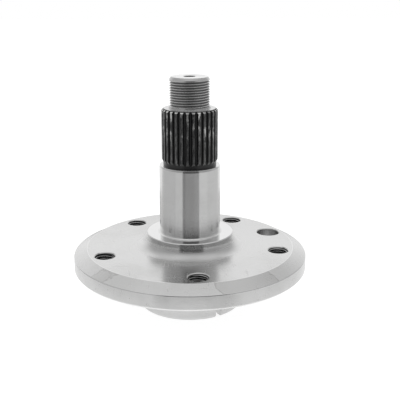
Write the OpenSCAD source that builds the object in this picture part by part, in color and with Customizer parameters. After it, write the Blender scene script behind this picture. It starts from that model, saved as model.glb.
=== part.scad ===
// Wheel hub: a forged and turned steel flange on a stub shaft, bolted to a wheel on one side and
// driven through a splined, threaded shaft end on the other.
// Millimetres. The hub stands on its pilot, with the shaft along +Z and the origin on its axis.
// Angles are measured around +Z from the -Y direction, where the first tapped hole lies.

/* [Wheel flange] */
// Outside diameter of the flange
flange_d = 143; // [142:1:160]
// Thickness of the flange, from the wheel side to the inner face
flange_t = 13; // [10:0.5:18]
// Width of the bevel around the inner face, measured along the radius
bevel_w = 8; // [3:0.5:8.5]
// Height of the bevel, measured along the shaft
bevel_h = 4.2; // [2:0.2:7]
// Edge break around the wheel side of the rim
rim_break = 1; // [0.4:0.1:2]

/* [Wheel bolt holes] */
// Diameter of the circle through the tapped holes
bolt_circle_d = 110; // [100:0.5:111]
// Number of tapped holes
bolt_count = 5; // [3:1:6]
// Bore of a tapped hole, drilled for a 12 x 1.5 thread
tap_bore_d = 10.5; // [8.5:0.1:12.5]
// Diameter of the countersink at both ends of a tapped hole
tap_mouth_d = 13; // [12.6:0.1:14]
// Diameter of the plain access hole
access_d = 14; // [10:0.5:15]
// Edge break at both ends of the access hole
access_break = 0.5; // [0.2:0.1:1]
// Gap between tapped holes that holds the access hole, counted from the first hole
access_gap = 1; // [0:1:2]

/* [Pilot] */
// Diameter of the pilot that centres the wheel
pilot_d = 65; // [60:0.1:70]
// Length of the pilot below the flange
pilot_l = 24; // [18:0.5:28]
// Lead-in chamfer at the end of the pilot
pilot_lead = 1.3; // [0.5:0.1:2]
// Width of the relief groove at the root of the pilot
pilot_relief_w = 2.2; // [1:0.2:3]
// Depth of the relief groove at the root of the pilot
pilot_relief_depth = 0.4; // [0.2:0.1:0.8]
// Width of the drain slot in the pilot wall
slot_w = 4; // [2:0.2:8]
// Height of the drain slot above the pilot's end
slot_h = 8; // [4:0.5:12]
// Angle from the first tapped hole to the drain slot
slot_angle = 27; // [0:1:359]
// Thickness of the pilot wall at the mouth of the recess
pilot_wall_t = 6; // [4:0.5:12]
// Thickness of the floor between the recess and the flange
recess_floor_t = 6; // [5.5:0.5:8]
// Draft of the recess wall
recess_draft = 6; // [2:0.5:12]
// Edge break around the mouth of the recess
recess_break = 0.8; // [0.3:0.1:1.5]

/* [Boss] */
// Diameter of the shoulder that the bearing seats on
shoulder_d = 53; // [48:0.5:60]
// Height of the shoulder above the inner face of the flange
boss_h = 8.8; // [7.5:0.2:14]
// Radius of the hollow flare between the boss and the flange
boss_flare_r = 6.4; // [4:0.2:7]
// Height of the turned step around the foot of the boss
boss_foot_h = 0.25; // [0.1:0.05:0.5]
// Edge break around the shoulder
shoulder_break = 0.4; // [0.2:0.1:0.8]

/* [Bearing journal] */
// Ground diameter of the bearing journal
journal_d = 37; // [35:0.1:42]
// Length of the journal above the shoulder
journal_l = 42.2; // [34:0.2:50]
// Radius of the fillet between journal and shoulder
journal_fillet_r = 1.2; // [0.6:0.1:2]
// Length of the lead-in at the end of the journal
journal_lead_l = 1.2; // [0.6:0.1:2]
// Depth of the lead-in at the end of the journal
journal_lead_depth = 0.35; // [0.1:0.05:0.6]

/* [Spline] */
// Number of spline teeth
spline_teeth = 30; // [24:1:32]
// Diameter over the tooth tips
spline_tip_d = 33.8; // [33.4:0.1:34.4]
// Pitch diameter, where tooth and space are equally wide
spline_pitch_d = 33; // [32.6:0.1:33.2]
// Diameter over the roots between the teeth
spline_root_d = 31.2; // [30.6:0.1:31.8]
// Pressure angle of the tooth flanks
pressure_angle = 30; // [25:1:35]
// Length of the toothed section
spline_l = 32.3; // [24:0.2:40]
// Angle from the first tapped hole to a tooth
spline_turn = 3; // [0:0.5:12]
// Radius of the cutter that leaves the run-out at the foot of the spaces
cutter_r = 25; // [15:1:40]
// Length of the chamfer at the upper end of the teeth
spline_lead_l = 1.2; // [0.6:0.1:2]
// Length of the chamfer at the lower end of the teeth
spline_tail_l = 1.5; // [0.6:0.1:3]
// Diameter of the relief groove under the teeth
groove_d = 32.1; // [31.9:0.1:32.6]
// Width of the relief groove under the teeth
groove_w = 2.2; // [1.5:0.1:4]

/* [Threaded end] */
// Outside diameter of the 24 x 1.5 thread
thread_d = 24; // [20:0.5:27]
// Length of the threaded section with its chamfer
thread_l = 17.7; // [12:0.1:24]
// Length of the chamfer at the end of the thread
thread_lead_l = 1.5; // [0.8:0.1:2.5]
// Depth of the chamfer at the end of the thread
thread_lead_depth = 0.9; // [0.5:0.1:1.2]
// Diameter of the plain collar under the thread
collar_d = 24.6; // [24.2:0.1:28]
// Length of the plain collar under the thread
collar_l = 1; // [0.8:0.1:4]
// Radius of the fillet at the foot of the collar
collar_fillet_r = 0.5; // [0.3:0.1:0.7]

/* [Centre holes] */
// Pilot drilling of the centre holes in both ends
centre_drill_d = 3.2; // [2:0.1:4]
// Diameter of the countersink of the centre holes
centre_mouth_d = 7.4; // [5:0.1:8]
// Depth of the centre hole in the threaded end
centre_depth = 9; // [6:0.5:14]
// Depth of the centre hole in the floor of the recess
floor_centre_depth = 4.5; // [4:0.1:5]

/* [Hidden] */
$fn = 96;
flank_steps = 3;
centre_cone_angle = 60;
over_cut = 1;
// The pilot and the journal enter the piece behind them by this much, which leaves ring faces beside them
register_h = 1;

face_d = flange_d - 2 * bevel_w;
inner_face_z = pilot_l + flange_t;
shoulder_z = inner_face_z + boss_h;
groove_z = shoulder_z + journal_l;
spline_z = groove_z + groove_w;
collar_z = spline_z + spline_l;

hole_step = 360 / bolt_count;
access_angle = (access_gap + 0.5) * hole_step;

spline_tip_r = spline_tip_d / 2;
spline_root_r = spline_root_d / 2;
groove_r = groove_d / 2;
base_r = spline_pitch_d / 2 * cos(pressure_angle);
tooth_step = 360 / spline_teeth;
end_root_r = min(spline_root_r, groove_r);
pilot_root_r = pilot_d / 2 - pilot_relief_depth;
journal_root_r = journal_d / 2 + journal_fillet_r;

// A point on the plan at a radius and an angle from the first tapped hole
function around(r, a) = [r * sin(a), -r * cos(a)];

// The involute function in degrees, and half the angle that a tooth covers at radius r
function involute(a) = tan(a) * 180 / PI - a;
function half_tooth(r) =
    tooth_step / 4 + involute(pressure_angle) - involute(acos(base_r / r));

function flank_r(k) = spline_root_r + (spline_tip_r - spline_root_r) * k / flank_steps;

// The outline of all the teeth: up one flank and down the other, tooth by tooth
function spline_outline() = [
    for (tooth = [0 : spline_teeth - 1], side = [-1, 1], k = [0 : flank_steps])
        let (r = flank_r(side < 0 ? k : flank_steps - k))
        around(r, spline_turn + tooth * tooth_step + side * half_tooth(r))
];

// A centre hole cut downwards from z = 0: a drilling under a conical mouth
module centre_hole(depth) {
    cone_h = (centre_mouth_d - centre_drill_d) / 2 / tan(centre_cone_angle / 2);
    translate([0, 0, -depth])
        cylinder(d = centre_drill_d, h = depth + over_cut);
    translate([0, 0, -cone_h])
        cylinder(d1 = centre_drill_d, d2 = centre_mouth_d, h = cone_h);
    cylinder(d = centre_mouth_d, h = over_cut);
}

// A hole through the flange with an opened mouth at both ends
module flange_hole(d, mouth_d) {
    mouth_h = (mouth_d - d) / 2;
    translate([0, 0, pilot_l - over_cut])
        cylinder(d = d, h = flange_t + 2 * over_cut);
    translate([0, 0, pilot_l])
        cylinder(d1 = mouth_d, d2 = d, h = mouth_h);
    translate([0, 0, inner_face_z - mouth_h])
        cylinder(d1 = d, d2 = mouth_d, h = mouth_h);
}

module pilot_spigot() {
    pilot_r = pilot_d / 2;
    mouth_r = pilot_r - pilot_wall_t;
    recess_depth = pilot_l - recess_floor_t;
    floor_r = mouth_r - recess_depth * tan(recess_draft);
    color("silver")
    difference() {
        rotate_extrude()
            polygon([
                [0, 0],
                [pilot_r - pilot_lead, 0],
                [pilot_r, pilot_lead],
                [pilot_r, pilot_l - pilot_relief_w],
                [pilot_root_r, pilot_l - pilot_relief_w],
                [pilot_root_r, pilot_l + register_h],
                [0, pilot_l + register_h],
            ]);
        cylinder(r1 = mouth_r, r2 = floor_r, h = recess_depth);
        cylinder(r1 = mouth_r + recess_break, r2 = mouth_r, h = recess_break);
        translate([0, 0, recess_depth])
            mirror([0, 0, 1])
                centre_hole(floor_centre_depth);
        rotate([0, 0, slot_angle])
            translate([-slot_w / 2, -pilot_d, -over_cut])
                cube([slot_w, pilot_d, slot_h + over_cut]);
    }
}

module wheel_flange() {
    flange_r = flange_d / 2;
    color("lightgray")
    difference() {
        rotate_extrude()
            polygon([
                [0, pilot_l],
                [flange_r - rim_break, pilot_l],
                [flange_r, pilot_l + rim_break],
                [flange_r, inner_face_z - bevel_h],
                [face_d / 2, inner_face_z],
                [0, inner_face_z],
            ]);
        for (i = [0 : bolt_count - 1])
            translate(around(bolt_circle_d / 2, i * hole_step))
                flange_hole(tap_bore_d, tap_mouth_d);
        translate(around(bolt_circle_d / 2, access_angle))
            flange_hole(access_d, access_d + 2 * access_break);
        translate([0, 0, pilot_l - over_cut])
            cylinder(r = pilot_root_r, h = over_cut + register_h);
    }
}

module hub_boss() {
    shoulder_r = shoulder_d / 2;
    foot_r = shoulder_r + boss_flare_r;
    color("silver")
    translate([0, 0, inner_face_z])
        rotate_extrude()
            difference() {
                union() {
                    square([foot_r, boss_foot_h + boss_flare_r]);
                    polygon([
                        [0, 0],
                        [shoulder_r, 0],
                        [shoulder_r, boss_h - shoulder_break],
                        [shoulder_r - shoulder_break, boss_h],
                        [0, boss_h],
                    ]);
                }
                translate([foot_r, boss_foot_h + boss_flare_r])
                    circle(r = boss_flare_r);
                translate([0, boss_h - register_h])
                    square([journal_root_r, register_h + over_cut]);
            }
}

module bearing_journal() {
    journal_r = journal_d / 2;
    color("gray")
    translate([0, 0, shoulder_z])
        rotate_extrude()
            union() {
                polygon([
                    [0, -register_h],
                    [journal_root_r, -register_h],
                    [journal_root_r, 0],
                    [journal_r, 0],
                    [journal_r, journal_l - journal_lead_l],
                    [journal_r - journal_lead_depth, journal_l],
                    [0, journal_l],
                ]);
                difference() {
                    square([journal_root_r, journal_fillet_r]);
                    translate([journal_root_r, journal_fillet_r])
                        circle(r = journal_fillet_r);
                }
            }
}

// The solid under the teeth: its wall rises at the lower end, where the cutter left the cut
module spline_core() {
    rise = groove_r - end_root_r;
    runout_h = sqrt(max(0, 2 * cutter_r * rise - rise * rise));
    rotate_extrude()
        difference() {
            square([groove_r, spline_z - groove_z + runout_h]);
            translate([end_root_r + cutter_r, groove_w + runout_h])
                circle(r = cutter_r);
        }
}

// The turned blank that the teeth are cut in, chamfered at both ends
module spline_blank() {
    rotate_extrude()
        polygon([
            [0, groove_w],
            [groove_r, groove_w],
            [spline_tip_r, groove_w + spline_tail_l],
            [spline_tip_r, groove_w + spline_l - spline_lead_l],
            [spline_root_r, groove_w + spline_l],
            [0, groove_w + spline_l],
        ]);
}

module spline_section() {
    color("dimgray")
    translate([0, 0, groove_z]) {
        spline_core();
        intersection() {
            spline_blank();
            linear_extrude(height = groove_w + spline_l)
                polygon(spline_outline());
        }
    }
}

module threaded_end() {
    thread_r = thread_d / 2;
    collar_r = collar_d / 2;
    color("gray")
    translate([0, 0, collar_z])
        difference() {
            rotate_extrude()
                union() {
                    polygon([
                        [0, 0],
                        [collar_r, 0],
                        [collar_r, collar_l],
                        [thread_r, collar_l],
                        [thread_r, collar_l + thread_l - thread_lead_l],
                        [thread_r - thread_lead_depth, collar_l + thread_l],
                        [0, collar_l + thread_l],
                    ]);
                    difference() {
                        square([collar_r + collar_fillet_r, collar_fillet_r]);
                        translate([collar_r + collar_fillet_r, collar_fillet_r])
                            circle(r = collar_fillet_r);
                    }
                }
            translate([0, 0, collar_l + thread_l])
                centre_hole(centre_depth);
        }
}

pilot_spigot();
wheel_flange();
hub_boss();
bearing_journal();
spline_section();
threaded_end();
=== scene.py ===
"""Looks of a turned steel wheel hub: finely turned pieces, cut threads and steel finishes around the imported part.

The hub's sizes are in millimetres, and profiles are points of (distance from the shaft's axis, height above the
pilot's end). The studio's sizes are in metres.
"""

from math import cos, hypot, pi, radians, sin, tan

import bmesh
import bpy
from mathutils import Matrix, Vector


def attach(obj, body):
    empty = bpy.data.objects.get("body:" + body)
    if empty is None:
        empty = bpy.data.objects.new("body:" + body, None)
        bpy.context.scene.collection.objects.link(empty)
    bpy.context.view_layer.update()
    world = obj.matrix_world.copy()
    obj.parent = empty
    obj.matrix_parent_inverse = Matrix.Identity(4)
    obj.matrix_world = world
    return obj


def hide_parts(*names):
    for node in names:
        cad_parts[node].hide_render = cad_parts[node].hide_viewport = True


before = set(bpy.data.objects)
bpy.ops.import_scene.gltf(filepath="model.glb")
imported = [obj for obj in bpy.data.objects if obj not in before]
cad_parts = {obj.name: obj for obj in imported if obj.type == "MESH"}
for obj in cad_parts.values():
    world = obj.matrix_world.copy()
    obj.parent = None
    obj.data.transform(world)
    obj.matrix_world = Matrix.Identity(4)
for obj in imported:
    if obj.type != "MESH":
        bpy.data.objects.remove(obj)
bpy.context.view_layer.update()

MM = 0.001
AXIS = (0, 0, 1)
SPIN_STEPS = 256
HOLE_STEPS = 128
THREAD_STEPS = 96
CARD_STEPS = 24
SHARP_ANGLE = radians(3.2)
THREAD_SHARP_ANGLE = radians(16)
MERGE_GAP = 1e-6
RING_GAP = 1e-5

# Heights of the hub's steps above the pilot's end
RECESS = 18.0
RELIEF = 21.8
WHEEL_FACE = 24.0
BEVEL = 32.8
INNER_FACE = 37.0
SHOULDER = 45.8
GROOVE = 88.0
SPLINE = 90.2
COLLAR = 122.5
THREAD = 123.5
SHAFT_END = 141.2

# Radii of the turned forms
PILOT_R = 32.5
RELIEF_R = 32.1
PILOT_END_R = 31.2
RECESS_R = 26.5
RECESS_MOUTH_R = 27.3
RIM_R = 71.5
FACE_EDGE_R = 63.5
FLARE_R = 6.65
SHOULDER_R = 26.5
JOURNAL_R = 18.5
JOURNAL_LEAD_R = 18.15
COLLAR_R = 12.3

# Edge breaks, chamfers and fillets
PILOT_CHAMFER = 1.3
RIM_CHAMFER = 1.0
SHOULDER_BREAK = 0.4
JOURNAL_FILLET = 1.2
JOURNAL_LEAD = 1.2
COLLAR_FILLET = 0.5

# The 24 x 1.5 thread of the shaft and the 12 x 1.5 threads of the flange
PITCH = 1.5
THREAD_R = 12.0
THREAD_ROOT_R = 11.08
THREAD_DEPTH = 0.92
THREAD_CHAMFER = 1.5
END_BAND = 2.0
TAPPED_R = 6.0
TAPPED_CREST_R = 5.25
TAPPED_WALL_R = 6.03
TAPPED_SLEEVE_R = 6.08
TAPPED_MOUTH_R = 6.5

# Other holes
HOLE_CIRCLE_R = 55.0
TAPPED_ANGLES = (0, 72, 144, 216, 288)
ACCESS_ANGLE = 108
ACCESS_R = 7.0
ACCESS_MOUTH_R = 7.5
CENTRE_R = 1.6
CENTRE_MOUTH_R = 3.7
CENTRE_CONE_H = (CENTRE_MOUTH_R - CENTRE_R) / tan(radians(30))
SLOT_ANGLE = 27
SLOT_W, SLOT_L, SLOT_H = 4, 20, 10


# ---------------------------------------------------------------- modelling


def arc(centre, radius, start, end, count):
    """Points on a circle in the profile plane, angles in degrees from the outward direction."""
    steps = [radians(start + (end - start) * k / count) for k in range(count + 1)]
    return [(centre[0] + radius * cos(a), centre[1] + radius * sin(a)) for a in steps]


def turned(profile, eased=(), steps=SPIN_STEPS):
    """A closed solid of revolution. eased lists the corners to break, as (radius, height, width)."""
    bm = bmesh.new()
    verts = [bm.verts.new((r * MM, 0, z * MM)) for r, z in profile]
    edges = [bm.edges.new(pair) for pair in zip(verts, verts[1:])]
    bmesh.ops.spin(bm, geom=verts + edges, cent=(0, 0, 0), axis=AXIS, dvec=(0, 0, 0),
                   angle=2 * pi, steps=steps, use_merge=True)
    bmesh.ops.remove_doubles(bm, verts=bm.verts, dist=MERGE_GAP)
    bmesh.ops.recalc_face_normals(bm, faces=bm.faces)
    for r, z, width in eased:
        ring = [e for e in bm.edges if all(on_ring(v, r, z) for v in e.verts)]
        bmesh.ops.bevel(bm, geom=ring, offset=width * MM, offset_type="OFFSET", segments=3,
                        profile=0.5, affect="EDGES", material=-1)
    return bm


def on_ring(vert, r, z):
    return abs(hypot(vert.co.x, vert.co.y) - r * MM) < RING_GAP and abs(vert.co.z - z * MM) < RING_GAP


def helix(outer_r, inner_r, low, high, shape):
    """A right-hand thread between two heights. shape(radius, height) trims each of its points."""
    flank = (outer_r - inner_r) * tan(radians(30))
    flat = PITCH / 8
    valley = PITCH - flat - 2 * flank
    cuts = 3
    ridge = [(inner_r, 0), (inner_r, valley / 2)]
    ridge += [(inner_r + (outer_r - inner_r) * k / cuts, valley / 2 + flank * k / cuts) for k in range(1, cuts + 1)]
    ridge += [(r, PITCH - z) for r, z in reversed(ridge)]
    turns = int((high - low) / PITCH) + 3
    start = low - 1.5 * PITCH
    bm = bmesh.new()
    verts = [bm.verts.new((r * MM, 0, (start + z) * MM)) for r, z in ridge]
    edges = [bm.edges.new(pair) for pair in zip(verts, verts[1:])]
    bmesh.ops.spin(bm, geom=verts + edges, cent=(0, 0, 0), axis=AXIS, dvec=(0, 0, PITCH * MM / THREAD_STEPS),
                   angle=2 * pi, steps=THREAD_STEPS)
    one_turn = bm.verts[:] + bm.edges[:] + bm.faces[:]
    for k in range(1, turns):
        again = bmesh.ops.duplicate(bm, geom=one_turn)["geom"]
        bmesh.ops.translate(bm, vec=(0, 0, k * PITCH * MM),
                            verts=[g for g in again if isinstance(g, bmesh.types.BMVert)])
    bmesh.ops.remove_doubles(bm, verts=bm.verts, dist=MERGE_GAP)
    for height, normal in ((low, (0, 0, -1)), (high, (0, 0, 1))):
        bmesh.ops.bisect_plane(bm, geom=bm.verts[:] + bm.edges[:] + bm.faces[:], dist=1e-8,
                               plane_co=(0, 0, height * MM), plane_no=normal, clear_outer=True)
    for v in bm.verts:
        r = hypot(v.co.x, v.co.y)
        trimmed = shape(r / MM, v.co.z / MM) * MM
        v.co.x *= trimmed / r
        v.co.y *= trimmed / r
    return bm


def capped(bm):
    """Closes both ends of an outside thread with a flat face."""
    bmesh.ops.holes_fill(bm, edges=[e for e in bm.edges if e.is_boundary], sides=0)
    bmesh.ops.recalc_face_normals(bm, faces=bm.faces)
    return bm


def sleeved(bm, outer_r):
    """Closes an inside thread with a plain sleeve behind it, which lies within the metal around the hole."""
    rims = [e for e in bm.edges if e.is_boundary]
    grown = bmesh.ops.extrude_edge_only(bm, edges=rims)["geom"]
    for v in (g for g in grown if isinstance(g, bmesh.types.BMVert)):
        scale = outer_r * MM / hypot(v.co.x, v.co.y)
        v.co.x *= scale
        v.co.y *= scale
    bmesh.ops.bridge_loops(bm, edges=[g for g in grown if isinstance(g, bmesh.types.BMEdge) and g.is_boundary])
    bmesh.ops.recalc_face_normals(bm, faces=bm.faces)
    return bm


def shaded(bm, sharp_angle=SHARP_ANGLE):
    """Smooth over curved walls, sharp along every real edge."""
    for f in bm.faces:
        f.smooth = True
    for e in bm.edges:
        e.smooth = len(e.link_faces) == 2 and e.calc_face_angle(0) < sharp_angle
    return bm


def mesh_of(name, *parts):
    """One mesh of several shapes, which are used up."""
    mesh = bpy.data.meshes.new(name)
    bm = bmesh.new()
    for part in parts:
        part.to_mesh(mesh)
        part.free()
        bm.from_mesh(mesh)
    bm.to_mesh(mesh)
    bm.free()
    return mesh


def put(name, mesh):
    obj = bpy.data.objects.new(name, mesh)
    bpy.context.scene.collection.objects.link(obj)
    return obj


def moved(bm, angle, radius=0.0, height=0.0):
    """A shape taken to its place on a circle round the axis, at an angle from the first tapped hole."""
    place = Matrix.Rotation(radians(angle), 4, "Z") @ Matrix.Translation((0, -radius * MM, height * MM))
    bmesh.ops.transform(bm, matrix=place, verts=bm.verts)
    return bm


def cut(body, cutters):
    """The body with all the cutters taken out of it."""
    blank = put("blank", mesh_of("blank", body))
    tool = put("tool", mesh_of("tool", *cutters))
    boolean = blank.modifiers.new("cut", "BOOLEAN")
    boolean.object = tool
    boolean.operation = "DIFFERENCE"
    boolean.solver = "MANIFOLD"
    bpy.context.view_layer.update()
    done = bpy.data.meshes.new_from_object(blank.evaluated_get(bpy.context.evaluated_depsgraph_get()))
    bm = bmesh.new()
    bm.from_mesh(done)
    for scrap in (blank.data, tool.data, done):
        bpy.data.meshes.remove(scrap)
    bmesh.ops.remove_doubles(bm, verts=bm.verts, dist=MERGE_GAP)
    bmesh.ops.dissolve_degenerate(bm, edges=bm.edges, dist=MERGE_GAP)
    return bm


def finish_piece(name, parts, node, material):
    """Makes one piece of shaded parts, and hands it to the frame. node is the solid that it replaces, if any."""
    mesh = mesh_of(name, *parts)
    mesh.materials.append(material)
    obj = put(name, mesh)
    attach(obj, "root")
    if node:
        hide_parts(node)


# ---------------------------------------------------------------- shader nodes


def link(tree, out, into):
    tree.links.new(out, into)


def feed(tree, x, socket):
    """Sets a socket to a number or a tuple, or links another socket to it."""
    if isinstance(x, (int, float, tuple)):
        socket.default_value = x
    else:
        link(tree, x, socket)


def math(tree, op, a, b=None):
    """A Math node. Each input is a number or a socket."""
    n = tree.nodes.new("ShaderNodeMath")
    n.operation = op
    feed(tree, a, n.inputs[0])
    if b is not None:
        feed(tree, b, n.inputs[1])
    return n.outputs[0]


def times(tree, a, b):
    return math(tree, "MULTIPLY", a, b)


def plus(tree, a, b):
    return math(tree, "ADD", a, b)


def minus(tree, a, b):
    return math(tree, "SUBTRACT", a, b)


def larger(tree, a, b):
    return math(tree, "MAXIMUM", a, b)


def length(tree, x, y):
    """The length of a vector in a plane."""
    return math(tree, "SQRT", plus(tree, times(tree, x, x), times(tree, y, y)))


def vector_math(tree, op, a, b=None):
    """A Vector Math node. Each input is a tuple or a socket."""
    n = tree.nodes.new("ShaderNodeVectorMath")
    n.operation = op
    feed(tree, a, n.inputs[0])
    if b is not None:
        feed(tree, b, n.inputs[1])
    return n.outputs["Value" if op in ("LENGTH", "DISTANCE") else "Vector"]


def object_place(tree):
    """A point's place on the piece, in metres from the pilot's end on the axis."""
    return tree.nodes.new("ShaderNodeTexCoord").outputs["Object"]


def ramp(tree, value, low, high, out_low=0.0, out_high=1.0):
    """A smooth step from out_low to out_high while value goes from low to high, which may be the smaller one."""
    n = tree.nodes.new("ShaderNodeMapRange")
    n.interpolation_type = "SMOOTHSTEP"
    feed(tree, value, n.inputs["Value"])
    feed(tree, low, n.inputs["From Min"])
    feed(tree, high, n.inputs["From Max"])
    feed(tree, out_low, n.inputs["To Min"])
    feed(tree, out_high, n.inputs["To Max"])
    return n.outputs[0]


def noise(tree, vector, scale, detail=2.0, rough=0.5):
    n = tree.nodes.new("ShaderNodeTexNoise")
    link(tree, vector, n.inputs["Vector"])
    n.inputs["Scale"].default_value = scale
    n.inputs["Detail"].default_value = detail
    n.inputs["Roughness"].default_value = rough
    return n.outputs["Fac"]


def mapped(tree, vector, stretch, turn=(0, 0, 0)):
    n = tree.nodes.new("ShaderNodeMapping")
    link(tree, vector, n.inputs["Vector"])
    n.inputs["Rotation"].default_value = turn
    n.inputs["Scale"].default_value = stretch
    return n.outputs[0]


def combine(tree, x, y, z):
    n = tree.nodes.new("ShaderNodeCombineXYZ")
    for i, v in enumerate((x, y, z)):
        feed(tree, v, n.inputs[i])
    return n.outputs[0]


def mix_colour(tree, fac, a, b):
    """From colour a to colour b as fac goes from 0 to 1. A colour is a tuple of three or a socket."""
    n = tree.nodes.new("ShaderNodeMix")
    n.data_type = "RGBA"
    factor = next(s for s in n.inputs if s.name == "Factor" and s.type == "VALUE")
    link(tree, fac, factor)
    for name, x in (("A", a), ("B", b)):
        socket = next(s for s in n.inputs if s.name == name and s.type == "RGBA")
        feed(tree, (*x, 1.0) if isinstance(x, tuple) else x, socket)
    return next(s for s in n.outputs if s.type == "RGBA")


def grey(level):
    return (level, level, level)


# ---------------------------------------------------------------- shader groups


FLOAT = "NodeSocketFloat"


def new_group(name, inputs, outputs):
    """A node group of numbers. inputs holds (name, default), and outputs holds names."""
    tree = bpy.data.node_groups.new(name, "ShaderNodeTree")
    for socket, default in inputs:
        tree.interface.new_socket(name=socket, in_out="INPUT", socket_type=FLOAT).default_value = default
    for socket in outputs:
        tree.interface.new_socket(name=socket, in_out="OUTPUT", socket_type=FLOAT)
    return tree, tree.nodes.new("NodeGroupInput").outputs, tree.nodes.new("NodeGroupOutput").inputs


def place_group(tree, group, **values):
    """A group in a material. Its inputs take numbers or sockets; underscores in their names are blanks."""
    n = tree.nodes.new("ShaderNodeGroup")
    n.node_tree = group
    for key, x in values.items():
        feed(tree, x, n.inputs[key.replace("_", " ")])
    return n.outputs


def lathe_place():
    """Where a point is on the lathe: its radius and height in millimetres, and its angle around the axis."""
    tree, _, out = new_group("lathe_place", (), ("Radius", "Height", "Turn"))
    split = tree.nodes.new("ShaderNodeSeparateXYZ")
    link(tree, object_place(tree), split.inputs[0])
    x, y, z = (times(tree, s, 1 / MM) for s in split.outputs)
    link(tree, length(tree, x, y), out["Radius"])
    link(tree, z, out["Height"])
    link(tree, math(tree, "ARCTAN2", y, x), out["Turn"])
    return tree


PLACE = lathe_place()


def lathe_marks():
    """Fine rings left by the tool: a height for bump, and a slow tint from ring to ring."""
    tree, given, out = new_group("lathe_marks", (("Fineness", 4.0), ("Band", 0.25)), ("Height", "Tint"))
    at = place_group(tree, PLACE)
    along = plus(tree, at["Radius"], at["Height"])
    sway_x = math(tree, "COSINE", at["Turn"])
    sway_y = math(tree, "SINE", at["Turn"])

    def rings(rate, sway):
        return combine(tree, times(tree, along, rate), times(tree, sway_x, sway), times(tree, sway_y, sway))

    link(tree, noise(tree, rings(given["Fineness"], 0.8), 1.0, 3.0, 0.65), out["Height"])
    link(tree, noise(tree, rings(given["Band"], 0.35), 1.0, 2.0, 0.5), out["Tint"])
    return tree


def handling():
    """Short scratches, specks and a thin uneven oil film from handling."""
    tree, given, out = new_group("handling", (("Size", 1.0),), ("Film", "Scratch", "Speck"))
    scaled = tree.nodes.new("ShaderNodeVectorMath")
    scaled.operation = "SCALE"
    link(tree, object_place(tree), scaled.inputs[0])
    link(tree, given["Size"], scaled.inputs["Scale"])
    place = scaled.outputs[0]
    scratches = []
    for turn, stretch, scale in ((0.6, (1, 14, 5), 60.0), (2.3, (12, 1, 6), 75.0)):
        across = mapped(tree, place, stretch, (turn, turn * 0.7, turn * 1.3))
        scratches.append(ramp(tree, noise(tree, across, scale, 1.0, 0.4), 0.70, 0.76))
    link(tree, ramp(tree, noise(tree, place, 38.0, 4.0, 0.6), 0.38, 0.68), out["Film"])
    link(tree, larger(tree, *scratches), out["Scratch"])
    link(tree, ramp(tree, noise(tree, place, 900.0, 1.0, 0.5), 0.72, 0.80), out["Speck"])
    return tree


def ring_highlight_and_wear():
    """A painted highlight along one turned edge, partly a worn line, broken up so that it isn't even."""
    tree, given, out = new_group("ring_highlight_and_wear", (("Edge Radius", 10.0), ("Edge Height", 0.0), ("Width", 0.5)), ("Mask",))
    at = place_group(tree, PLACE)
    gap = length(tree, minus(tree, at["Radius"], given["Edge Radius"]), minus(tree, at["Height"], given["Edge Height"]))
    ragged = noise(tree, object_place(tree), 260.0, 3.0, 0.6)
    reach = times(tree, given["Width"], plus(tree, ragged, 0.35))
    link(tree, ramp(tree, gap, reach, 0.0), out["Mask"])
    return tree


MARKS = lathe_marks()
HANDLING = handling()
EDGE_HIGHLIGHT_AND_WEAR = ring_highlight_and_wear()


# ---------------------------------------------------------------- finishes


def new_steel(name):
    """A metal material, with its tree and its shader."""
    mat = bpy.data.materials.new(name)
    mat.use_nodes = True
    shader = mat.node_tree.nodes["Principled BSDF"]
    shader.inputs["Metallic"].default_value = 1.0
    return mat, mat.node_tree, shader


def add_bump(tree, shader, *layers):
    """Bump nodes one over another. Each layer is (height, strength, distance in millimetres)."""
    normal = None
    for height, strength, distance in layers:
        bump = tree.nodes.new("ShaderNodeBump")
        bump.inputs["Strength"].default_value = strength
        bump.inputs["Distance"].default_value = distance * MM
        link(tree, height, bump.inputs["Height"])
        if normal is not None:
            link(tree, normal, bump.inputs["Normal"])
        normal = bump.outputs["Normal"]
    link(tree, normal, shader.inputs["Normal"])


def brushed_round(tree, shader, amount):
    """Reflections smear across the tool marks, which run around the axis."""
    around = vector_math(tree, "CROSS_PRODUCT", AXIS, object_place(tree))
    link(tree, vector_math(tree, "NORMALIZE", around), shader.inputs["Tangent"])
    shader.inputs["Anisotropic"].default_value = amount
    shader.inputs["Anisotropic Rotation"].default_value = 0.25


def edge_highlights_and_wear(tree, edges):
    """Painted highlights along edges, partly worn lines, each given as (radius, height, width)."""
    mask = None
    for r, z, width in edges:
        one = place_group(tree, EDGE_HIGHLIGHT_AND_WEAR, Edge_Radius=r, Edge_Height=z, Width=width)["Mask"]
        mask = one if mask is None else larger(tree, mask, one)
    return mask


def around_spot(tree, spot, reach, soft, ragged=0.0):
    """How far a point is from an upright line through the flange, and a mask that is 1 within reach of the line."""
    place = object_place(tree)
    flat = vector_math(tree, "MULTIPLY", place, (1, 1, 0))
    away = times(tree, vector_math(tree, "DISTANCE", flat, (spot[0] * MM, spot[1] * MM, 0)), 1 / MM)
    if ragged:
        away = plus(tree, away, times(tree, noise(tree, place, 85.0, 4.0, 0.62), ragged))
    return away, ramp(tree, away, reach, reach - soft)


# Darker patches with darker outlines on the bevel: place, reach and strength
BEVEL_PATCHES = (((27, -63), 29.0, 0.48), ((-53, -44), 17.0, 0.36), ((20, 66), 24.0, 0.36))


def darker_bevel_patches(tree):
    """Faint darker patches, each with a darker outline."""
    blotches = None
    for spot, reach, strength in BEVEL_PATCHES:
        away, inside = around_spot(tree, spot, reach, 1.4, 20.0)
        outline = minus(tree, inside, ramp(tree, away, reach - 1.0, reach - 2.4))
        patch_mark = times(tree, plus(tree, times(tree, inside, 0.55), outline), strength)
        blotches = patch_mark if blotches is None else larger(tree, blotches, patch_mark)
    return blotches


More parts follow.
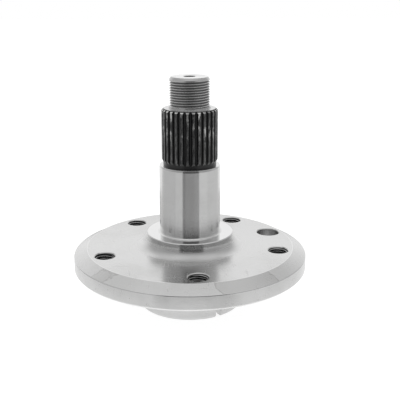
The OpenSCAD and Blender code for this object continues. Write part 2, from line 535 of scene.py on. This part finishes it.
def flange_zones(tree, colour, rough):
    """The bore of the access hole, the bevel's darker patches, the satin flare and the finer shoulder and neck."""
    at = place_group(tree, PLACE)
    turn = radians(ACCESS_ANGLE)
    access = (HOLE_CIRCLE_R * sin(turn), -HOLE_CIRCLE_R * cos(turn))
    bore = around_spot(tree, access, ACCESS_R + 0.3, 0.2)[1]
    bevel = times(tree, ramp(tree, at["Radius"], FACE_EDGE_R + 0.1, FACE_EDGE_R + 0.5),
                  ramp(tree, at["Height"], BEVEL, BEVEL + 0.3))
    seat = ramp(tree, at["Height"], SHOULDER - 0.1, SHOULDER - 0.02)
    neck = ramp(tree, at["Height"], INNER_FACE + 2.5, INNER_FACE + 6.5)
    flare = times(tree, ramp(tree, at["Radius"], SHOULDER_R - 0.2, SHOULDER_R + 0.1),
                  ramp(tree, at["Radius"], 36.0, 31.5))
    flare = times(tree, flare, ramp(tree, at["Height"], INNER_FACE - 0.1, INNER_FACE - 0.01))
    flare = minus(tree, flare, times(tree, neck, flare))

    colour = mix_colour(tree, times(tree, darker_bevel_patches(tree), bevel), colour, (0.40, 0.395, 0.39))
    colour = mix_colour(tree, seat, colour, grey(0.80))
    colour = mix_colour(tree, bore, colour, grey(0.46))
    satin = plus(tree, times(tree, bore, 0.12), times(tree, flare, 0.09))
    fine = times(tree, larger(tree, seat, times(tree, neck, 0.3)), 0.13)
    return colour, minus(tree, plus(tree, rough, satin), fine)


def turned_steel(name, light, dark, fineness, rough, edges, zones=None):
    """Turned steel: rings from the tool, a thin film, a few scratches, and edges painted bright as highlights, partly
    as wear.
    """
    mat, tree, shader = new_steel(name)
    marks = place_group(tree, MARKS, Fineness=fineness, Band=0.35)
    hands = place_group(tree, HANDLING, Size=1.0)
    highlight_and_wear = edge_highlights_and_wear(tree, edges)
    tint = plus(tree, times(tree, marks["Tint"], 0.6), times(tree, hands["Film"], 0.4))
    colour = mix_colour(tree, tint, light, dark)
    colour = mix_colour(tree, times(tree, hands["Speck"], 0.15), colour, (0.42, 0.41, 0.40))
    # Lighter along the listed edges: painted highlights, partly wear
    colour = mix_colour(tree, times(tree, highlight_and_wear, 0.6), colour, grey(0.86))
    satin = plus(tree, times(tree, hands["Film"], 0.07), rough - 0.05)
    satin = plus(tree, satin, times(tree, marks["Height"], 0.10))
    satin = minus(tree, satin, times(tree, highlight_and_wear, 0.08))
    satin = plus(tree, satin, times(tree, hands["Scratch"], 0.10))
    if zones:
        colour, satin = zones(tree, colour, satin)
    link(tree, colour, shader.inputs["Base Color"])
    link(tree, satin, shader.inputs["Roughness"])
    add_bump(tree, shader, (marks["Height"], 0.35, 0.012), (hands["Scratch"], 0.25, -0.01))
    brushed_round(tree, shader, 0.85)
    return mat


def ground_steel():
    """Ground journal: very fine even rings, satin, with a slight polish where the bearing ring slides on."""
    mat, tree, shader = new_steel("ground_steel")
    marks = place_group(tree, MARKS, Fineness=9.0, Band=0.8)
    hands = place_group(tree, HANDLING, Size=1.3)
    at = place_group(tree, PLACE)
    polish = ramp(tree, at["Height"], GROOVE - 8, GROOVE)
    highlight_and_wear = edge_highlights_and_wear(tree, ((JOURNAL_R, GROOVE - JOURNAL_LEAD, 0.6), (JOURNAL_LEAD_R, GROOVE, 0.4)))
    tint = plus(tree, times(tree, marks["Tint"], 0.55), times(tree, hands["Film"], 0.45))
    colour = mix_colour(tree, tint, grey(0.78), (0.70, 0.70, 0.695))
    # Lighter along the journal's lead-in edges: painted highlights, partly wear
    colour = mix_colour(tree, times(tree, highlight_and_wear, 0.5), colour, grey(0.82))
    link(tree, colour, shader.inputs["Base Color"])
    satin = plus(tree, times(tree, marks["Height"], 0.08), times(tree, hands["Film"], 0.05))
    satin = plus(tree, satin, 0.13)
    satin = minus(tree, satin, times(tree, polish, 0.03))
    link(tree, satin, shader.inputs["Roughness"])
    add_bump(tree, shader, (marks["Height"], 0.25, 0.006), (hands["Scratch"], 0.15, -0.006))
    brushed_round(tree, shader, 0.7)
    return mat


def dark_spline_steel():
    """Black phosphate under oil on the teeth, rubbed to grey along the crests and most at their upper ends."""
    mat, tree, shader = new_steel("dark_spline_steel")
    at = place_group(tree, PLACE)
    hands = place_group(tree, HANDLING, Size=1.6)
    place = object_place(tree)
    streak = noise(tree, mapped(tree, place, (1.0, 1.0, 0.22)), 1100.0, 5.0, 0.68)
    patch = noise(tree, place, 110.0, 3.0, 0.55)

    # The teeth's tips, which both end chamfers lower
    tail = plus(tree, times(tree, minus(tree, at["Height"], SPLINE), 0.567), 16.05)
    lead = plus(tree, times(tree, minus(tree, COLLAR, at["Height"]), 1.083), 15.6)
    tip = math(tree, "MINIMUM", math(tree, "MINIMUM", tail, lead), 16.9)
    crest = times(tree, ramp(tree, minus(tree, tip, at["Radius"]), 0.22, 0.03), ramp(tree, at["Radius"], 16.08, 16.3))

    upper = ramp(tree, at["Height"], SPLINE + 12, COLLAR - 9, 0.10, 1.0)
    worn = times(tree, ramp(tree, streak, 0.42, 0.56), ramp(tree, patch, 0.45, 0.56))
    worn = times(tree, times(tree, worn, crest), upper)
    top = times(tree, ramp(tree, at["Height"], COLLAR - 1.5, COLLAR - 1.0), crest)
    worn = larger(tree, worn, times(tree, top, ramp(tree, patch, 0.35, 0.6, 0.25, 0.9)))
    bare = ramp(tree, at["Height"], COLLAR - 0.06, COLLAR - 0.02)

    colour = mix_colour(tree, streak, (0.014, 0.014, 0.015), (0.040, 0.040, 0.041))
    colour = mix_colour(tree, times(tree, crest, ramp(tree, streak, 0.3, 0.7)), colour, grey(0.17))
    colour = mix_colour(tree, worn, colour, (0.74, 0.74, 0.73))
    colour = mix_colour(tree, bare, colour, grey(0.62))
    link(tree, colour, shader.inputs["Base Color"])
    satin = minus(tree, 0.50, times(tree, larger(tree, worn, bare), 0.24))
    link(tree, plus(tree, satin, times(tree, hands["Film"], 0.08)), shader.inputs["Roughness"])
    shader.inputs["Coat Weight"].default_value = 0.8
    shader.inputs["Coat Roughness"].default_value = 0.3
    grit = noise(tree, place, 2600.0, 2.0, 0.6)
    add_bump(tree, shader, (grit, 0.35, 0.02), (streak, 0.4, 0.03))
    return mat


def thread_steel():
    """Cut thread: oily grey in the grooves, lighter on the crests, bright on the chamfer and the end face."""
    mat, tree, shader = new_steel("thread_steel")
    at = place_group(tree, PLACE)
    marks = place_group(tree, MARKS, Fineness=8.0, Band=0.9)
    hands = place_group(tree, HANDLING, Size=1.8)
    crest = ramp(tree, at["Radius"], THREAD_R - 0.55, THREAD_R - 0.05)
    collar = ramp(tree, at["Height"], THREAD + 0.1, THREAD - 0.1)
    band = ramp(tree, at["Height"], SHAFT_END - 2.3, SHAFT_END - 1.9)
    face = times(tree, ramp(tree, at["Height"], SHAFT_END - 0.05, SHAFT_END - 0.01),
                 ramp(tree, at["Radius"], CENTRE_MOUTH_R - 0.1, CENTRE_MOUTH_R + 0.05))
    bore = ramp(tree, at["Radius"], CENTRE_MOUTH_R + 0.05, CENTRE_MOUTH_R - 0.15)
    colour = mix_colour(tree, crest, grey(0.28), grey(0.82))
    colour = mix_colour(tree, collar, colour, grey(0.50))
    colour = mix_colour(tree, band, colour, grey(0.66))
    colour = mix_colour(tree, face, colour, grey(0.88))
    colour = mix_colour(tree, bore, colour, grey(0.10))
    colour = mix_colour(tree, times(tree, hands["Film"], 0.18), colour, (0.24, 0.24, 0.235))
    link(tree, colour, shader.inputs["Base Color"])
    satin = plus(tree, times(tree, marks["Height"], 0.12), times(tree, hands["Film"], 0.08))
    threaded = minus(tree, 1.0, larger(tree, band, collar))
    satin = plus(tree, satin, times(tree, threaded, 0.18))
    link(tree, plus(tree, satin, 0.20), shader.inputs["Roughness"])
    add_bump(tree, shader, (marks["Height"], 0.35, 0.01))
    return mat


def tapped_steel():
    """Inside the tapped holes: dark cutting oil in the grooves and greyer crests."""
    mat, tree, shader = new_steel("tapped_thread_steel")
    blotches = noise(tree, object_place(tree), 420.0, 3.0, 0.6)
    at = place_group(tree, PLACE)
    mouth = ramp(tree, at["Height"], INNER_FACE - 0.6, INNER_FACE - 0.4)

    # Distance from the centre line of the nearest hole
    step = 2 * pi / len(TAPPED_ANGLES)
    hole = times(tree, math(tree, "ROUND", math(tree, "DIVIDE", plus(tree, at["Turn"], pi / 2), step)), step)
    hole = minus(tree, hole, pi / 2)

    def from_centre(op):
        return minus(tree, times(tree, at["Radius"], math(tree, op, at["Turn"])),
                     times(tree, math(tree, op, hole), HOLE_CIRCLE_R))

    off = length(tree, from_centre("COSINE"), from_centre("SINE"))
    crest = ramp(tree, off, TAPPED_CREST_R + 0.35, TAPPED_CREST_R + 0.1)
    light = mix_colour(tree, ramp(tree, blotches, 0.35, 0.65), grey(0.45), grey(0.66))
    colour = mix_colour(tree, crest, grey(0.05), light)
    colour = mix_colour(tree, mouth, colour, grey(0.45))
    link(tree, colour, shader.inputs["Base Color"])
    link(tree, plus(tree, times(tree, blotches, 0.2), 0.24), shader.inputs["Roughness"])
    add_bump(tree, shader, (blotches, 0.2, 0.02))
    return mat


# Each tuple of (radius, height, width) is an edge where a bright line is painted as a highlight, partly as wear
FLANGE_STEEL = turned_steel(
    "turned_flange_steel", grey(0.695), (0.645, 0.645, 0.64), 4.5, 0.19,
    ((RIM_R, BEVEL, 0.7), (FACE_EDGE_R, INNER_FACE, 0.45), (RIM_R, WHEEL_FACE + RIM_CHAMFER, 0.6),
     (SHOULDER_R, SHOULDER - SHOULDER_BREAK, 0.5), (SHOULDER_R - SHOULDER_BREAK, SHOULDER, 0.5)), flange_zones)
PILOT_STEEL = turned_steel(
    "turned_pilot_steel", grey(0.73), (0.67, 0.67, 0.665), 4.0, 0.22,
    ((PILOT_R, PILOT_CHAMFER, 0.6), (PILOT_END_R, 0.0, 0.6), (PILOT_R, RELIEF, 0.4)))
JOURNAL_STEEL = ground_steel()
SPLINE_STEEL = dark_spline_steel()
THREAD_STEEL = thread_steel()
TAPPED_STEEL = tapped_steel()


# ---------------------------------------------------------------- pieces


def pilot():
    floor_r = RECESS_R - RECESS * tan(radians(6))
    body = turned([
        (0, WHEEL_FACE), (RELIEF_R, WHEEL_FACE), (RELIEF_R, RELIEF), (PILOT_R, RELIEF), (PILOT_R, PILOT_CHAMFER),
        (PILOT_END_R, 0), (RECESS_MOUTH_R, 0), (RECESS_R, 0.8),
        *arc((floor_r - 1.0, RECESS - 1.0), 1.0, 0, 90, 36),
        (CENTRE_MOUTH_R, RECESS), (CENTRE_R, RECESS + CENTRE_CONE_H), (CENTRE_R, RECESS + 4.5), (0, RECESS + 4.9),
    ], eased=((PILOT_R, RELIEF, 0.15), (PILOT_R, PILOT_CHAMFER, 0.25), (PILOT_END_R, 0, 0.25),
              (RECESS_MOUTH_R, 0, 0.15), (CENTRE_MOUTH_R, RECESS, 0.12)))
    slot = bmesh.new()
    bmesh.ops.create_cube(slot, size=1.0)
    bmesh.ops.scale(slot, vec=(SLOT_W * MM, SLOT_L * MM, SLOT_H * MM), verts=slot.verts)
    upper = [e for e in slot.edges if abs(e.verts[0].co.x - e.verts[1].co.x) < MERGE_GAP
             and abs(e.verts[0].co.z - e.verts[1].co.z) < MERGE_GAP and e.verts[0].co.z > 0]
    bmesh.ops.bevel(slot, geom=upper, offset=0.8 * MM, offset_type="OFFSET", segments=6,
                    profile=0.5, affect="EDGES", material=-1)
    moved(slot, SLOT_ANGLE, 32, 3.0)
    finish_piece("pilot_turned", [shaded(cut(body, [slot]))], "pilot_spigot", PILOT_STEEL)


def tapped_wall():
    """The 12 x 1.5 thread in a hole of the flange, opened at both ends by the countersink."""
    def opened(r, z):
        return max(r, TAPPED_MOUTH_R + z - INNER_FACE, TAPPED_MOUTH_R + WHEEL_FACE - z)
    return sleeved(helix(TAPPED_R, TAPPED_CREST_R, WHEEL_FACE + 0.45, INNER_FACE - 0.45, opened), TAPPED_SLEEVE_R)


def countersunk(wall_r, mouth_r):
    """What a drill and a countersink take out of the flange."""
    deep = mouth_r - wall_r
    return turned([(0, WHEEL_FACE - 1), (mouth_r + 1, WHEEL_FACE - 1), (wall_r, WHEEL_FACE + deep),
                   (wall_r, INNER_FACE - deep), (mouth_r + 1, INNER_FACE + 1), (0, INNER_FACE + 1)], steps=HOLE_STEPS)


def flange():
    body = turned([
        (0, WHEEL_FACE), (46, WHEEL_FACE), (64.5, WHEEL_FACE), (RIM_R - RIM_CHAMFER, WHEEL_FACE),
        (RIM_R, WHEEL_FACE + RIM_CHAMFER), (RIM_R, BEVEL), (FACE_EDGE_R, INNER_FACE), (46, INNER_FACE),
        (0, INNER_FACE),
    ], eased=((RIM_R, BEVEL, 0.35), (FACE_EDGE_R, INNER_FACE, 0.3), (RIM_R, WHEEL_FACE + RIM_CHAMFER, 0.2),
              (RIM_R - RIM_CHAMFER, WHEEL_FACE, 0.2)))
    cutters = [moved(countersunk(TAPPED_WALL_R, TAPPED_MOUTH_R), a, HOLE_CIRCLE_R) for a in TAPPED_ANGLES]
    cutters.append(moved(countersunk(ACCESS_R, ACCESS_MOUTH_R), ACCESS_ANGLE, HOLE_CIRCLE_R))
    thread = shaded(tapped_wall(), THREAD_SHARP_ANGLE)
    threads = [moved(thread.copy(), a, HOLE_CIRCLE_R) for a in TAPPED_ANGLES]
    finish_piece("flange_drilled", [shaded(cut(body, cutters))], "wheel_flange", FLANGE_STEEL)
    finish_piece("bolt_hole_threads", threads, None, TAPPED_STEEL)


def boss():
    foot_r = SHOULDER_R + FLARE_R
    body = turned([
        (0, INNER_FACE), (foot_r, INNER_FACE), *arc((foot_r, INNER_FACE + FLARE_R), FLARE_R, 270, 180, 56)[1:],
        (SHOULDER_R, SHOULDER - SHOULDER_BREAK), (SHOULDER_R - SHOULDER_BREAK, SHOULDER), (0, SHOULDER),
    ], eased=((SHOULDER_R, SHOULDER - SHOULDER_BREAK, 0.1), (SHOULDER_R - SHOULDER_BREAK, SHOULDER, 0.1)))
    finish_piece("boss_turned", [shaded(body)], "hub_boss", FLANGE_STEEL)


def journal():
    root_r = JOURNAL_R + JOURNAL_FILLET
    body = turned([
        (0, SHOULDER), (root_r, SHOULDER),
        *arc((root_r, SHOULDER + JOURNAL_FILLET), JOURNAL_FILLET, 270, 180, 36)[1:],
        (JOURNAL_R, GROOVE - JOURNAL_LEAD), (JOURNAL_LEAD_R, GROOVE), (0, GROOVE),
    ], eased=((JOURNAL_R, GROOVE - JOURNAL_LEAD, 0.3), (JOURNAL_LEAD_R, GROOVE, 0.1)))
    finish_piece("journal_ground", [shaded(body)], "bearing_journal", JOURNAL_STEEL)


def threaded_end():
    root_r = COLLAR_R + COLLAR_FILLET
    collar = turned([
        (0, COLLAR), (root_r, COLLAR), *arc((root_r, COLLAR + COLLAR_FILLET), COLLAR_FILLET, 270, 180, 24)[1:],
        (COLLAR_R, THREAD), (0, THREAD),
    ], eased=((COLLAR_R, THREAD, 0.15),))

    def trimmed(r, z):
        """Runs the grooves out at the collar and below the end band, and chamfers the end."""
        run_out = THREAD_R - THREAD_DEPTH * min(1.0, max(0.0, (z - THREAD) / 0.45))
        band = THREAD_R - THREAD_DEPTH * min(1.0, max(0.0, (SHAFT_END - END_BAND - z) / 0.5))
        chamfer = THREAD_R - 0.9 * (z - SHAFT_END + THREAD_CHAMFER) / THREAD_CHAMFER
        return min(max(r, run_out, band), chamfer)

    stub = capped(helix(THREAD_R, THREAD_ROOT_R, THREAD - 0.5, SHAFT_END, trimmed))
    centre = turned([
        (0, SHAFT_END + 1), (4.4, SHAFT_END + 1), (CENTRE_MOUTH_R, SHAFT_END), (CENTRE_R, SHAFT_END - CENTRE_CONE_H),
        (CENTRE_R, SHAFT_END - 9), (0, SHAFT_END - 9.8),
    ], steps=THREAD_STEPS)
    finish_piece("threaded_end_cut", [shaded(collar), shaded(cut(stub, [centre]), THREAD_SHARP_ANGLE)],
                 "threaded_end", THREAD_STEEL)


pilot()
flange()
boss()
journal()
threaded_end()

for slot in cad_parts["spline_section"].material_slots:
    slot.material = SPLINE_STEEL


# ---------------------------------------------------------------- studio


def glow(name, seen, mirrored, diffuse=0.0, far=None):
    """A studio surface. seen is how bright the camera finds it, mirrored how bright it is in the steel.

    far is how bright it is in the steel where it lies well away from the hub."""
    mat = bpy.data.materials.new(name)
    mat.use_nodes = True
    tree = mat.node_tree
    tree.nodes.clear()
    path = tree.nodes.new("ShaderNodeLightPath")
    light = tree.nodes.new("ShaderNodeEmission")
    if far is not None:
        mirrored = ramp(tree, vector_math(tree, "LENGTH", object_place(tree)), 0.11, 0.20, mirrored, far)
    mirror = times(tree, path.outputs["Is Glossy Ray"], minus(tree, mirrored, seen))
    link(tree, plus(tree, mirror, seen), light.inputs["Strength"])
    paint = tree.nodes.new("ShaderNodeBsdfDiffuse")
    paint.inputs["Color"].default_value = (*grey(diffuse), 1)
    both = tree.nodes.new("ShaderNodeAddShader")
    link(tree, light.outputs[0], both.inputs[0])
    link(tree, paint.outputs[0], both.inputs[1])
    out = tree.nodes.new("ShaderNodeOutputMaterial")
    link(tree, both.outputs[0], out.inputs["Surface"])
    return mat


def stage_piece(name, bm, material):
    mesh = mesh_of(name, bm)
    mesh.materials.append(material)
    obj = put(name, mesh)
    return obj


def card(name, span, start, end, level):
    """A curved card that only reflections see, over a span of degrees round the axis from the camera's side.

    start and end are (distance, height) of its edges."""
    bm = bmesh.new()
    first = radians(span[0])
    verts = [bm.verts.new((r * sin(first), -r * cos(first), z)) for r, z in (start, end)]
    edge = bm.edges.new(verts)
    bmesh.ops.spin(bm, geom=verts + [edge], cent=(0, 0, 0), axis=AXIS, dvec=(0, 0, 0),
                   angle=radians(span[1]) - first, steps=CARD_STEPS)
    obj = stage_piece(name, bm, glow(name, level, level))
    obj.visible_camera = False
    obj.visible_diffuse = False
    obj.visible_shadow = False


# How bright the tent is on the camera's side, at the sides and overhead, where its back wall is 1
FRONT_WALL = 0.37
SIDE_WALL = 0.48
ROOF = 0.80

# The tent's open front, from the camera's side in degrees, and the cards on the floor before it, each from one angle
# to another at a level
OPENING = (-31, 29)
OPENING_R = 0.70
FRONT_FLOOR_R = 0.15
FRONT_FLOOR = ((-130, -58, 0.56), (-58, -31, 0.62), (-31, -21, 0.25), (-21, 12, 0.325), (12, 29, 0.37),
               (29, 62, 0.70), (62, 130, 0.64))
BACK_FLOOR = (155, 203)
BACKDROP = (120, 240)

# Cards lie this far above the floor
LIFT = 0.0005


def light_tent():
    """The world: a white tent to the camera, and a graded one in reflections, with its bright wall at the back."""
    world = bpy.data.worlds.new("light_tent")
    bpy.context.scene.world = world
    world.use_nodes = True
    tree = world.node_tree
    background = tree.nodes["Background"]
    split = tree.nodes.new("ShaderNodeSeparateXYZ")
    link(tree, tree.nodes.new("ShaderNodeTexCoord").outputs["Generated"], split.inputs[0])
    x, y, z = split.outputs
    facing = math(tree, "DIVIDE", y, length(tree, x, y))
    wall = ramp(tree, facing, -0.5, 0.2, FRONT_WALL, SIDE_WALL)
    wall = ramp(tree, facing, 0.45, 1.0, wall, 1.0)
    roof = ramp(tree, z, 0.55, 0.95)
    level = plus(tree, times(tree, wall, minus(tree, 1.0, roof)), times(tree, roof, ROOF))
    seen = tree.nodes.new("ShaderNodeLightPath").outputs["Is Camera Ray"]
    link(tree, plus(tree, times(tree, level, minus(tree, 1.0, seen)), seen), background.inputs["Strength"])
    background.inputs["Color"].default_value = (1, 1, 1, 1)


def softbox():
    """A soft lamp overhead, which the steel doesn't mirror."""
    light = bpy.data.lights.new("overhead_softbox", "AREA")
    light.shape = "RECTANGLE"
    light.size, light.size_y = 1.6, 1.6
    light.energy = 6.0
    lamp = bpy.data.objects.new("overhead_softbox", light)
    bpy.context.scene.collection.objects.link(lamp)
    lamp.location = (0.0, 0.1, 1.5)
    lamp.visible_glossy = False
    lamp.visible_camera = False


def studio():
    """A white light tent that is open towards the camera, which only the reflections show."""
    ground = bmesh.new()
    bmesh.ops.create_grid(ground, x_segments=1, y_segments=1, size=4.0)
    stage_piece("floor", ground, glow("studio_floor", 0.88, 0.70, diffuse=0.30, far=0.34))
    for start, end, level in FRONT_FLOOR:
        card(f"front_floor_{start}", (start, end), (FRONT_FLOOR_R, LIFT), (OPENING_R, LIFT), level)
    card("opening_wall", OPENING, (OPENING_R, LIFT), (OPENING_R, 0.24), 0.06)
    card("opening_upper_wall", OPENING, (OPENING_R, 0.24), (OPENING_R, 0.52), 0.11)
    card("back_floor", BACK_FLOOR, (0.13, LIFT), (0.26, LIFT), 0.33)
    card("floor_under_rim", (0, 360), (0.050, LIFT), (0.069, LIFT), 1.25)
    card("backdrop_floor", BACKDROP, (0.26, LIFT), (2.0, LIFT), 0.92)
    light_tent()
    softbox()


def colours():
    """Plain studio colour, as a product photograph has, so that the white tent stays white."""
    view = bpy.context.scene.view_settings
    view.view_transform = "Standard"
    view.look = "None"


def camera():
    """At the photograph's viewing angle, fitted to the flange, the holes and the shaft's steps."""
    photo_px, focal_px = 400, 734.4
    pitch, turn = 13.94, 5.55
    distance, side, above_face = 433.4, 6.19, 156.0
    data = bpy.data.cameras.new("camera")
    data.sensor_width = 36.0
    data.lens = focal_px / photo_px * data.sensor_width
    data.shift_y = -0.08
    data.clip_start, data.clip_end = 0.01, 50.0
    cam = bpy.data.objects.new("camera", data)
    bpy.context.scene.collection.objects.link(cam)
    around = Matrix.Rotation(radians(-turn), 4, "Z")
    cam.location = around @ Vector((side * MM, -distance * MM, (above_face + INNER_FACE) * MM))
    cam.rotation_euler = (radians(90 - pitch), 0, radians(-turn))
    bpy.context.scene.camera = cam


studio()
colours()
camera()
